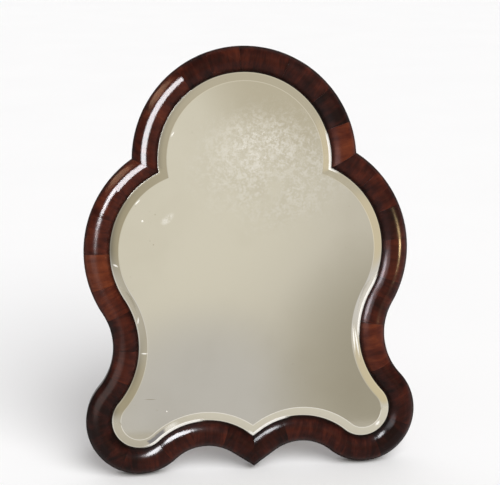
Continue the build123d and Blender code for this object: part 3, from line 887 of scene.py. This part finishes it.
class Silvering:
    """The plate's silvering: its places, the clouds in it and the marks on it."""

    def __init__(self, finish, sizes):
        self.finish = finish
        self.place = up_the_piece(finish, sizes.lean, bench_to_row(sizes).translation)
        self.bevel = finish.attribute("bevel")
        self.cloud = finish.noise(self.place, CLOUD_SCALE, detail=3)
        self.mottle = finish.noise(self.place, MOTTLE_SCALE, detail=3, roughness=0.65)
        self.fine = finish.noise(self.place, FINE_SCALE, detail=2, roughness=0.7)
        self.drift = self.patch(HAZE) * finish.band(finish.noise(self.place, DRIFT_SCALE), *DRIFT_BAND)
        self.haze = self.drift * finish.band(self.blend(HAZE_MOTTLE), *HAZE_BAND)
        dots = finish.specks(self.place, FOX_SCALE)
        self.fox = finish.band(FOX_REACH - dots, *FOX_FADE) * finish.band(self.cloud, *FOXED_BAND)
        self.pale_patch = self.patch(PALE_PATCH) * finish.band(self.mottle, *PALE_PATCH_BAND)
        self.low = 1 - finish.band(finish.part(self.place, "Y"), *LOW_BEVEL)

    def blend(self, share):
        """Mottle at a share, and fine clouds for the rest."""
        return self.mottle * share + self.fine * (1 - share)

    def patch(self, mark):
        """One at the middle of a mark, nought at its rim and past it."""
        middle = tuple(part * MM for part in mark.middle)
        along, across = (part * MM for part in mark.reach)
        moved = self.finish.vector("SUBTRACT", self.place, (*middle, 0.0))
        turned = self.finish.turned(moved, "Z_AXIS", -math.radians(mark.turn))
        shares = self.finish.vector("MULTIPLY", turned, (1 / along, 1 / across, 0.0))
        distance = self.finish.vector("LENGTH", shares, output="Value")
        return self.finish.band(1 - distance, *MARK_FADE)

    def face(self, colours):
        """Colour of the flat face: warm, hazed high up, foxed, with a pale patch, and scratched."""
        mix = self.finish.mix
        warm = self.finish.band(self.cloud, *WARM_BAND) * WARM_SHARE
        base = mix(self.drift * DRIFT_STAIN, colours.silver, colours.silver_stain)
        base = mix(self.haze * HAZE_SHARE, base, colours.silver_haze_and_highlight)
        base = mix(self.fox * FOX_SHARE + warm, base, colours.silver_stain)
        base = mix(self.pale_patch, base, colours.silver_haze_and_highlight)
        return mix(self.patch(SCRATCH) * SCRATCH_SHARE, base, colours.silver_stain)

    def slope(self, colours):
        """Colour of the bevel: painted shade, a little darker and warmer low down and darker on the left,
        worn by the arch, with a painted highlight along its outer edge.
        """
        band, mix = self.finish.band, self.finish.mix
        left = 1 - band(self.finish.part(self.place, "X"), *LEFT_SHADE_FADE)
        # Painted shade: a little darker and warmer low down.
        base = mix(self.low, colours.bevel_shade, colours.bevel_foot_shade)
        # Painted shade: darker on the left, and most at the left waist over the floor's bright reflection.
        base = mix(left * LEFT_SHADE_SHARE, base, colours.bevel_left_shade)
        base = mix(band(self.patch(LEFT_WAIST_SHADE), *LEFT_WAIST_SHADE_FADE) * LEFT_WAIST_SHADE_SHARE, base, colours.bevel_left_shade)
        strip = band(self.patch(WORN) + self.mottle.sway(STRIP_SWAY), *STRIP_BAND)
        worn = strip * band(self.bevel + self.fine.sway(WORN_SWAY), *WORN_BAND)
        base = mix(worn * (WORN_SHARE + self.mottle * WORN_MOTTLE), base, colours.silver_worn)
        # Painted highlight: a pale line along the bevel's outer edge, brightest at the right notch.
        pale = band(self.bevel, *OUTER_HIGHLIGHT_BAND) * (self.patch(NOTCH_HIGHLIGHT) * NOTCH_HIGHLIGHT_SHARE + OUTER_HIGHLIGHT_SHARE)
        return mix(pale, base, colours.silver_haze_and_highlight)

    def ground_glass_and_highlights(self):
        """Share made matt white: ground glass in the thick of the haze and the pale patch, and painted
        highlights in a flare, bright rims, chips and glints.
        """
        band = self.finish.band
        flare = band(self.bevel, *FLARE_BAND) * self.patch(FLARE)
        core = self.patch(CORE) * band(self.blend(CORE_MOTTLE), *CORE_BAND)
        share = flare * (FLARE_GLASS + self.mottle * FLARE_MOTTLE) + self.haze * HAZE_GLASS
        share = share + core * CORE_GLASS + self.pale_patch * PALE_PATCH_GLASS
        # Painted highlights along the rim, and in the chips and glints.
        rim = band(self.bevel, *RIM_BAND)
        for mark in RIM_HIGHLIGHTS:
            share = share + band(rim * self.patch(mark), *RIM_FADE)
        for mark in CHIPS_AND_GLINTS:
            share = share + self.patch(mark)
        return self.finish.math("MINIMUM", share, 1.0)

    def roughness(self, glass):
        """Roughness, raised by haze, foxing, the pale patch, ground glass and the painted highlights."""
        clouded = SILVER_ROUGHNESS + self.haze * HAZE_ROUGHNESS + self.fox * FOX_ROUGHNESS
        return clouded + self.pale_patch * PALE_PATCH_ROUGHNESS + glass * GLASS_AND_HIGHLIGHT_ROUGHNESS


def aged_silvering(colours, sizes):
    """Old bevelled plate: warm silvering, hazed and foxed, painted shade in the bevel, worn and chipped,
    with painted highlights and glints.
    """
    material, finish = new_finish("aged_silvering")
    silver = Silvering(finish, sizes)
    bevel = silver.bevel
    # Matt white share: ground glass in the haze, and the painted highlights.
    glass = silver.ground_glass_and_highlights()
    # Painted highlight: a thin pale line along the bevel's inner arris, dimmer low down.
    arris_highlight = finish.band(bevel, *ARRIS_START) * (1 - finish.band(bevel, *ARRIS_END))
    base = finish.mix(finish.band(bevel, *BEVEL_START), silver.face(colours), silver.slope(colours))
    base = finish.mix(arris_highlight * (ARRIS_HIGHLIGHT_SHARE - silver.low * ARRIS_HIGHLIGHT_LOSS), base, colours.silver_haze_and_highlight)
    finish.surface({
        "Base Color": finish.mix(glass, base, colours.silver_haze_and_highlight),
        "Metallic": 1 - glass * GLASS_AND_HIGHLIGHT_METAL_LOSS,
        "Roughness": silver.roughness(glass),
    })
    return material


# Stained softwood: clouds per metre, and what each adds
GROUND_GRAIN_SCALE = (24, 24, 900)
GROUND_CLOUD_SCALE = (35, 35, 35)
GROUND_GRAIN_SHARE = 0.7
GROUND_CLOUD_SHARE = 0.5
GROUND_LOSS = 0.1
GROUND_ROUGHNESS = 0.32
GROUND_CLOUDING = 0.2
GROUND_BUMP = 0.2 * MM


def stained_ground(colours, tilt):
    """Softwood edge under dark stain, its grain along the length."""
    material, finish = new_finish("stained_ground")
    place = up_the_piece(finish, tilt)
    grain = finish.noise(place, GROUND_GRAIN_SCALE, detail=3)
    cloud = finish.noise(place, GROUND_CLOUD_SCALE, detail=2)
    share = grain * GROUND_GRAIN_SHARE + cloud * GROUND_CLOUD_SHARE - GROUND_LOSS
    finish.surface({
        "Base Color": finish.ramp(share, ((0.25, colours.polish_dirt), (0.8, colours.ground_stain))),
        "Roughness": GROUND_ROUGHNESS + cloud * GROUND_CLOUDING,
        "Normal": finish.bump(grain, GROUND_BUMP),
    })
    return material


# Brass: clouds and scratches per metre, and what the tarnish in them does
BRASS_CLOUD_SCALE = (120, 120, 120)
BRASS_SCRATCH_SCALE = (2600, 260, 260)
TARNISH_BAND = (0.20, 0.95)
TARNISH_SWAY = 0.15
TARNISH_METAL_LOSS = 0.35
TARNISH_ROUGHNESS = 0.30
BRASS_ROUGHNESS = 0.26
BRASS_SCRATCH_ROUGHNESS = 0.1
BRASS_BUMP = 0.06 * MM


def aged_brass(colours):
    """Brass gone brown in cloudy patches, with fine scratches."""
    material, finish = new_finish("aged_brass")
    place = finish.place()
    cloud = finish.noise(place, BRASS_CLOUD_SCALE, detail=4)
    scratch = finish.noise(place, BRASS_SCRATCH_SCALE, detail=2)
    tarnish = finish.band(cloud + scratch.sway(TARNISH_SWAY), *TARNISH_BAND)
    roughness = BRASS_ROUGHNESS + tarnish * TARNISH_ROUGHNESS
    finish.surface({
        "Base Color": finish.mix(tarnish, colours.brass, colours.tarnish),
        "Metallic": 1.0 - tarnish * TARNISH_METAL_LOSS,
        "Roughness": roughness + scratch.sway(BRASS_SCRATCH_ROUGHNESS),
        "Normal": finish.bump(scratch + cloud, BRASS_BUMP),
    })
    return material


def dress(names, material):
    """Gives CAD nodes a finish in place of their plain one."""
    for name in names:
        NODES[name].material_slots[0].material = material


def nodes_named(*starts):
    """Names of the CAD nodes that start with given words."""
    return [name for name in sorted(NODES) if name.startswith(starts)]


def add_object(context, name, data):
    """A new object in the scene."""
    made = bpy.data.objects.new(name, data)
    context.scene.collection.objects.link(made)
    return made


def add_aimed(context, name, data, way):
    """A new lamp or camera in the scene, looking along a way."""
    made = add_object(context, name, data)
    made.rotation_mode = "QUATERNION"
    made.rotation_quaternion = way.to_track_quat("-Z", "Y")
    return made


def square_joint(station):
    """A joint square to the run: at the same station for every inset."""
    return lambda inset: station


def drawn_back(mark, distance):
    """A block's end, moved from its joint by a distance along the run."""
    return lambda inset: mark(inset) + distance


class TABLEMIRROR_OT_moulding(bpy.types.Operator):
    """Make the cross-grain moulding, block by block, and polish it"""

    bl_idname = "table_mirror.moulding"
    bl_label = "Moulding"

    def execute(self, context):
        outline = Outline(context.scene.mirror_sizes)
        finish = polished_mahogany(context.scene.mirror_colours)
        self.run_of_blocks(context, "crown", outline.crown_run(), finish)
        self.run_of_blocks(context, "right", outline.side_run(1), finish)
        self.run_of_blocks(context, "left", outline.side_run(-1), finish)
        return {"FINISHED"}

    def run_of_blocks(self, context, side, run, finish):
        """Blocks of one run, each in the place of its CAD node."""
        sizes = context.scene.mirror_sizes
        gap = sizes.shrinkage
        joints = [square_joint(share * run.length) for share in JOINT_SHARES[side]]
        marks = [run.begin, *joints, run.finish]
        rows = zip(marks, marks[1:], TONE_SHARES[side], RUB_SHARES[side])
        for number, (low, high, tone, rub) in enumerate(rows, 1):
            node = f"{side}_block_{number}"
            name = f"{side}_moulding_{number}"
            mesh = block_mesh(name, run, drawn_back(low, gap), drawn_back(high, -gap), number, sizes)
            add_attribute(mesh, "tone", "FLOAT", [tone] * len(mesh.vertices))
            add_attribute(mesh, "rub", "FLOAT", [rub] * len(mesh.vertices))
            mesh.materials.append(finish)
            block = add_object(context, name, mesh)
            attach(block, "frame")
            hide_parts(node)


class TABLEMIRROR_OT_ground(bpy.types.Operator):
    """Stain the ground under the moulding, and leave the plate's wedges bare"""

    bl_idname = "table_mirror.ground"
    bl_label = "Ground and Wedges"

    def execute(self, context):
        colours = context.scene.mirror_colours
        lean = context.scene.mirror_sizes.lean
        grounds = nodes_named("crown_ground", "right_ground", "left_ground")
        dress(grounds, stained_ground(colours, lean))
        bare_grain = tuple(BARE_WOOD_SHADE * part for part in colours.bare_wood)
        bare = (colours.bare_wood, bare_grain)
        dress(["plate_wedges"], long_grain("bare_softwood", bare, lean, *WEDGE_GRAIN))
        return {"FINISHED"}


class TABLEMIRROR_OT_plate(bpy.types.Operator):
    """Silver the bevelled plate and age it"""

    bl_idname = "table_mirror.plate"
    bl_label = "Mirror Plate"

    def execute(self, context):
        sizes = context.scene.mirror_sizes
        mesh = plate_mesh("bevelled_plate", sizes)
        mesh.materials.append(aged_silvering(context.scene.mirror_colours, sizes))
        plate = add_object(context, "bevelled_plate", mesh)
        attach(plate, "frame")
        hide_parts("mirror_plate")
        return {"FINISHED"}


class TABLEMIRROR_OT_back(bpy.types.Operator):
    """Finish the backboard, the strut and the block that it hangs from"""

    bl_idname = "table_mirror.back"
    bl_label = "Back and Strut"

    def execute(self, context):
        colours = context.scene.mirror_colours
        lean = context.scene.mirror_sizes.lean
        board_tones = (colours.board, colours.board_dark)
        dress(["backboard"], long_grain("stained_board", board_tones, lean, *BOARD_GRAIN))
        strut_tones = (colours.strut, colours.strut_dark)
        dress(["strut_block"], long_grain("stained_block", strut_tones, lean, *BLOCK_GRAIN))
        opening = math.radians(frame["joints"][0]["range_deg"][1])
        dress(["strut"], long_grain("stained_strut", strut_tones, lean - opening, *STRUT_GRAIN))
        return {"FINISHED"}


class TABLEMIRROR_OT_brass(bpy.types.Operator):
    """Age the hinge and the screws"""

    bl_idname = "table_mirror.brass"
    bl_label = "Hinge and Screws"

    def execute(self, context):
        names = nodes_named("hinge", "backboard_screws", "strut_block_screws")
        dress(names, aged_brass(context.scene.mirror_colours))
        return {"FINISHED"}


def way_to(azimuth, elevation):
    """Way from the mirror out into the room, to the right and up, in degrees."""
    turn, lift = math.radians(azimuth), math.radians(elevation)
    return Vector((math.sin(turn) * math.cos(lift), -math.cos(turn) * math.cos(lift), math.sin(lift)))


def lobe(finish, way, place, reach):
    """One towards a place in the room, nought past an outer angle from it, in degrees."""
    facing = finish.vector("DOT_PRODUCT", way, way_to(*place), output="Value")
    outer, inner = (math.cos(math.radians(part)) for part in reach)
    return finish.band(facing, outer, inner)


def blocks(side, first, last):
    """Names of the moulding's blocks on one side, from one number to another."""
    return [f"{side}_moulding_{number}" for number in range(first, last + 1)]


class Lamp(NamedTuple):
    """A flat lamp: the blocks it falls on, its place and spread in degrees, its strength and its tint."""

    name: str
    receivers: list
    place: tuple
    spread: tuple
    radiance: float
    tint: tuple


# The lamps' tints and, where more than one kind of block shares a lamp, its blocks
COOL = (0.93, 0.96, 1.0)
PALE = (0.94, 0.95, 1.0)
LILAC = (0.94, 0.92, 1.0)
SOFT = (1.0, 0.93, 0.88)
WARM = (1.0, 0.74, 0.38)
COPPER = (1.0, 0.66, 0.42)
LEFT_SLOPES = blocks("crown", 1, 1) + blocks("left", 1, 4)
RIGHT_SIDE = blocks("right", 1, 11) + blocks("crown", 5, 7)
LAMPS = (
    Lamp("window", blocks("crown", 1, 1), (-12, 21), (40, 40), 100.0, COOL),
    Lamp("notch_window", blocks("left", 1, 1), (-11, 17), (44, 38), 100.0, COOL),
    Lamp("shoulder_window", blocks("left", 2, 3), (-14, 28), (30, 28), 120.0, COOL),
    Lamp("copper_card", LEFT_SLOPES, (-74, 46), (52, 15), 16.0, COPPER),
    Lamp("soft_window", blocks("left", 4, 9), (-35, 18), (60, 36), 5.0, SOFT),
    Lamp("high_window", blocks("left", 10, 12), (-46, 50), (44, 26), 120.0, COOL),
    Lamp("high_window_right", RIGHT_SIDE, (-58, 58), (34, 18), 85.0, COOL),
    Lamp("side_window", RIGHT_SIDE, (-80, 22), (90, 36), 9.0, PALE),
    Lamp("waist_window", blocks("right", 4, 5), (-86, 20), (52, 26), 46.0, LILAC),
    Lamp("warm_lamp", blocks("right", 3, 5), (45, 6.5), (11, 5.5), 330.0, WARM),
)

# How far off the flat lamps stand, where they aim, and the soft key's place and spread
LAMP_DISTANCE = 2.6
MIRROR_MIDDLE = Vector((0, 0, 0.25))
KEY_PLACE = (28, 50)
KEY_SPREAD = math.radians(50)

# Parts of the room, each laid over those before it: its colour, its place in degrees to the right and up,
# and the degrees from there at which it has faded out and at which it is full
ROOM_PARTS = (
    ("backdrop", (180, 10), (80, 40)),
    ("card_rim", (12, 14), (38, 25)),
)
CARD_PARTS = (
    ("card", (6, 9), (16, 11)),
    ("card_light", (2.5, 13), (10.5, 3.5)),
    ("card_low", (4, 0), (7, 2)),
    ("card_dim", (15.2, 1.7), (9, 2)),
    ("card_top", (10, 19), (6.5, 2)),
    ("card_side", (31, 12), (12, 5)),
)
HORIZON_FADE = (0.0, math.sin(math.radians(10)))

# The floor's size and finish, and where before the mirror it turns grey
FLOOR_REACH = 24.0
FLOOR_CLOUD_SCALE = (3, 3, 3)
FLOOR_PALER = 1.03
FLOOR_ROUGHNESS = 0.6
FLOOR_SPECULAR = 0.1
FAR_FLOOR = ((6, 0), (24, 13))
FAR_FLOOR_FADE = (-4.6, -2.2)

# The camera's place, the way it looks and its lens, from the fit to the picture
CAMERA_PLACE = Vector((-0.148, -1.2469, 0.6485))
CAMERA_AHEAD = Vector((0.1159, 0.9485, -0.2950))
CAMERA_LENS = 79.2


class TABLEMIRROR_OT_stage(bpy.types.Operator):
    """Set the mirror on a pale floor in a plain studio, and aim the camera"""

    bl_idname = "table_mirror.stage"
    bl_label = "Stage"

    def execute(self, context):
        levels = context.scene.mirror_stage
        context.scene.view_settings.view_transform = "Standard"
        self.floor(context, levels)
        self.room(context, levels)
        self.key(context, levels)
        for lamp in LAMPS:
            self.panel(context, lamp)
        self.camera(context)
        return {"FINISHED"}

    def floor(self, context, levels):
        """Wide floor at the height of the lobes' feet, greyer far out before the mirror."""
        reach = FLOOR_REACH
        corners = [(-reach, -reach, 0), (reach, -reach, 0), (reach, reach, 0), (-reach, reach, 0)]
        mesh = bpy.data.meshes.new("floor")
        mesh.from_pydata(corners, [], [(0, 1, 2, 3)])
        material, finish = new_finish("pale_floor")
        place = finish.place()
        cloud = finish.noise(place, FLOOR_CLOUD_SCALE)
        paler = tuple(min(1.0, FLOOR_PALER * part) for part in levels.floor)
        near_floor = finish.mix(cloud, levels.floor, paler)
        before = lobe(finish, finish.vector("NORMALIZE", place), *FAR_FLOOR)
        far = before * (1 - finish.band(finish.part(place, "Y"), *FAR_FLOOR_FADE))
        finish.surface({
            "Base Color": finish.mix(far, near_floor, levels.floor_far),
            "Roughness": FLOOR_ROUGHNESS,
            "Specular IOR Level": FLOOR_SPECULAR,
        })
        mesh.materials.append(material)
        floor = add_object(context, "floor", mesh)

    def room(self, context, levels):
        """White studio behind the mirror and a dim one before it, with a pale card that the plate shows."""
        world = bpy.data.worlds.new("studio")
        context.scene.world = world
        finish = Finish(world)
        way = finish.field("TexCoord", output="Generated")
        horizon = 1 - finish.band(finish.part(way, "Z"), *HORIZON_FADE)
        tint = levels.room
        for name, place, reach in ROOM_PARTS:
            tint = finish.mix(lobe(finish, way, place, reach), tint, getattr(levels, name))
        tint = finish.mix(horizon, tint, levels.backdrop)
        for name, place, reach in CARD_PARTS:
            tint = finish.mix(lobe(finish, way, place, reach), tint, getattr(levels, name))
        shader = finish.field("Background", None, {"Color": tint, "Strength": 1.0})
        finish.node("OutputWorld", None, {"Surface": shader})

    def key(self, context, levels):
        """Soft key for colour and shadow, which the polish doesn't show."""
        sun = bpy.data.lights.new("key", "SUN")
        sun.energy = levels.key
        sun.angle = KEY_SPREAD
        key = add_aimed(context, "key", sun, -way_to(*KEY_PLACE))
        key.visible_glossy = False

    def panel(self, context, lamp):
        """Window or lamp that faces the mirror and shows only in the polish of its blocks."""
        breadth, height = (2 * LAMP_DISTANCE * math.tan(math.radians(part / 2)) for part in lamp.spread)
        oval = math.pi / 4 * breadth * height
        light = bpy.data.lights.new(lamp.name, "AREA")
        light.shape = "ELLIPSE"
        light.size = breadth
        light.size_y = height
        light.energy = lamp.radiance * math.pi * oval
        light.color = lamp.tint
        way = way_to(*lamp.place)
        panel = add_aimed(context, lamp.name, light, -way)
        panel.location = way * LAMP_DISTANCE + MIRROR_MIDDLE
        panel.visible_diffuse = False
        receivers = bpy.data.collections.new(lamp.name)
        for name in lamp.receivers:
            receivers.objects.link(context.scene.objects[name])
        panel.light_linking.receiver_collection = receivers

    def camera(self, context):
        """Camera where the picture was taken from."""
        data = bpy.data.cameras.new("camera")
        data.lens = CAMERA_LENS
        camera = add_aimed(context, "camera", data, CAMERA_AHEAD)
        camera.location = CAMERA_PLACE
        context.scene.camera = camera


class TABLEMIRROR_PT_sidebar(bpy.types.Panel):
    """Steps that dress the mirror, in order"""

    bl_idname = "TABLEMIRROR_PT_sidebar"
    bl_label = "Table Mirror"
    bl_space_type = "VIEW_3D"
    bl_region_type = "UI"
    bl_category = "Table Mirror"

    def draw(self, context):
        for step in STEPS:
            self.layout.operator(step.bl_idname)
        for group_name in GROUPS:
            group = getattr(context.scene, group_name)
            box = self.layout.box()
            for name in group.__annotations__:
                box.prop(group, name)


GROUPS = {"mirror_sizes": FrameSizes, "mirror_colours": FinishColours, "mirror_stage": StageLevels}
STEPS = (
    TABLEMIRROR_OT_moulding,
    TABLEMIRROR_OT_ground,
    TABLEMIRROR_OT_plate,
    TABLEMIRROR_OT_back,
    TABLEMIRROR_OT_brass,
    TABLEMIRROR_OT_stage,
)
CLASSES = (*GROUPS.values(), *STEPS, TABLEMIRROR_PT_sidebar)


def register():
    """Adds the properties, the steps and the panel to Blender."""
    for made in CLASSES:
        bpy.utils.register_class(made)
    for name, group in GROUPS.items():
        setattr(bpy.types.Scene, name, PointerProperty(type=group))


def unregister():
    """Takes them out again."""
    for name in GROUPS:
        delattr(bpy.types.Scene, name)
    for made in reversed(CLASSES):
        bpy.utils.unregister_class(made)


def main():
    """Dresses the mirror step by step."""
    register()
    bpy.ops.table_mirror.moulding()
    bpy.ops.table_mirror.ground()
    bpy.ops.table_mirror.plate()
    bpy.ops.table_mirror.back()
    bpy.ops.table_mirror.brass()
    bpy.ops.table_mirror.stage()


if __name__ == "__main__":
    main()
